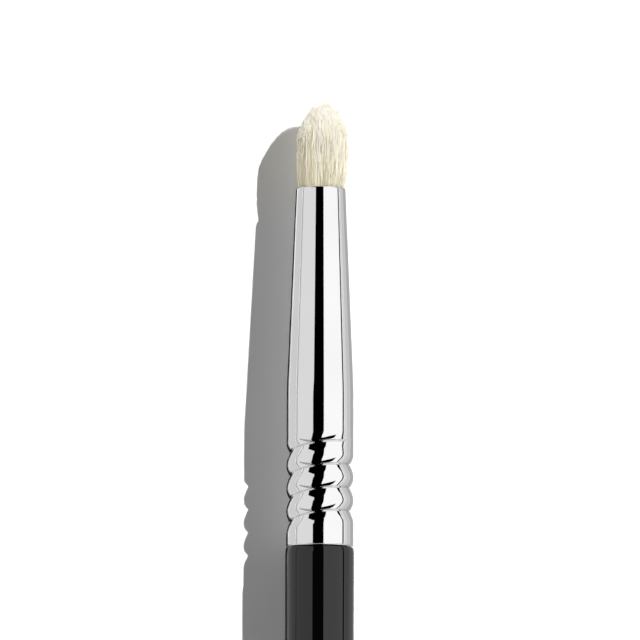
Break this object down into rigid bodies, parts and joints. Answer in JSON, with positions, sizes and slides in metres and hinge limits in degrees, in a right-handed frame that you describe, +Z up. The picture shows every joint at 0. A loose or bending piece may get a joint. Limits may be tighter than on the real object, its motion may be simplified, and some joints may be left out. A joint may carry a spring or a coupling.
{
  "type": "eyeshadow brush",
  "caption": "Slim eye make-up brush with a bullet-shaped natural-hair head, a tapered chrome ferrule with a rolled helical crimp and a glossy black tapered handle.",
  "frame": {"origin": "middle of the brush's box on the table that it lies on", "axes": "+Y along the brush from the tail of the handle to the hair, +Z up from the table"},
  "size_m": [0.0098, 0.175, 0.0098],
  "materials": {
    "natural_hair": "undyed soft hair",
    "waxed_thread": "waxed cotton",
    "setting_resin": "amber cast resin",
    "plated_ferrule": "bright plated",
    "tenon_glue": "set glue",
    "lacquered_wood": "turned birch dipped in gloss black lacquer"
  },
  "bodies": {
    "root": {"hair_tuft": "natural_hair", "binding_thread": "waxed_thread", "resin_plug": "setting_resin", "ferrule": "plated_ferrule", "handle_glue": "tenon_glue", "handle": "lacquered_wood"}
  },
  "joints": []
}
